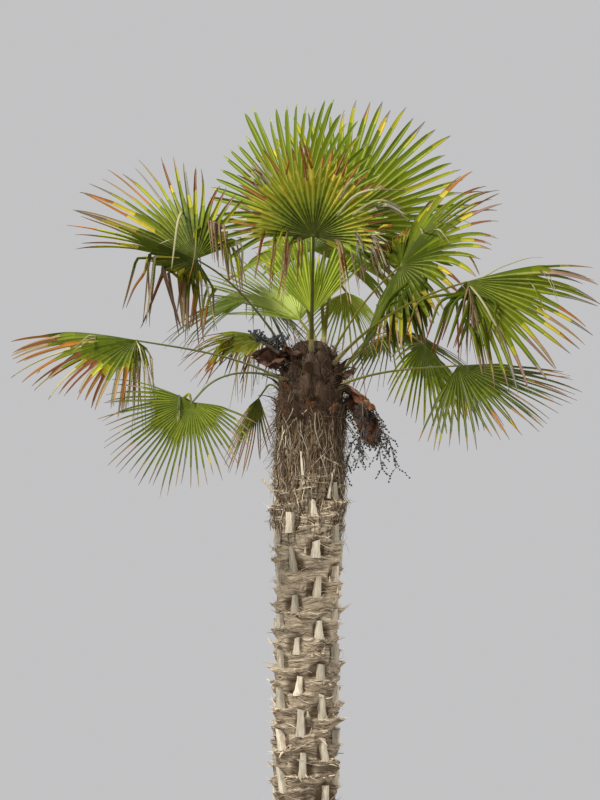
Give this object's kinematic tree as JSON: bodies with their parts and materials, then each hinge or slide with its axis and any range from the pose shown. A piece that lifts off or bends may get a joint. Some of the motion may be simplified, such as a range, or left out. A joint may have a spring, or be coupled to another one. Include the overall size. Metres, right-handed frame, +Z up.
{
  "type": "palm tree",
  "caption": "Windmill palm with a shaggy fibrous trunk, pleated fan leaves on slim stalks all round its head, and short fruit stalks.",
  "frame": {"origin": "middle of the flat cut under the trunk, at ground level", "axes": "+Z up along the trunk, -Y towards the front of the tree, +X to its right as seen from the front"},
  "size_m": [2.1534, 1.787, 3.6141],
  "materials": {
    "trunk_fibre": "matted dry fibre",
    "leaf_stalk": "satin",
    "leaf_blade": "leathery leaf",
    "fruit_stalk": "dry and matt"
  },
  "bodies": {
    "root": {"fan_back_left": "leaf_blade", "fan_back_low": "leaf_blade", "fan_back_right": "leaf_blade", "fan_far_left": "leaf_blade", "fan_far_right": "leaf_blade", "fan_front": "leaf_blade", "fan_hanging_left": "leaf_blade", "fan_heart": "leaf_blade", "fan_heart_left": "leaf_blade", "fan_low_left": "leaf_blade", "fan_low_right": "leaf_blade", "fan_mid_right": "leaf_blade", "fan_rear_left": "leaf_blade", "fan_rear_right": "leaf_blade", "fan_rear_top": "leaf_blade", "fan_top_left": "leaf_blade", "fan_top_right": "leaf_blade", "fan_upper_left": "leaf_blade", "fan_upper_right": "leaf_blade", "fruit_left": "fruit_stalk", "fruit_right": "fruit_stalk", "stalk_back_left": "leaf_stalk", "stalk_back_low": "leaf_stalk", "stalk_back_right": "leaf_stalk", "stalk_far_left": "leaf_stalk", "stalk_far_right": "leaf_stalk", "stalk_front": "leaf_stalk", "stalk_hanging_left": "leaf_stalk", "stalk_heart": "leaf_stalk", "stalk_heart_left": "leaf_stalk", "stalk_low_left": "leaf_stalk", "stalk_low_right": "leaf_stalk", "stalk_mid_right": "leaf_stalk", "stalk_rear_left": "leaf_stalk", "stalk_rear_right": "leaf_stalk", "stalk_rear_top": "leaf_stalk", "stalk_top_left": "leaf_stalk", "stalk_top_right": "leaf_stalk", "stalk_upper_left": "leaf_stalk", "stalk_upper_right": "leaf_stalk", "trunk": "trunk_fibre"}
  },
  "joints": []
}
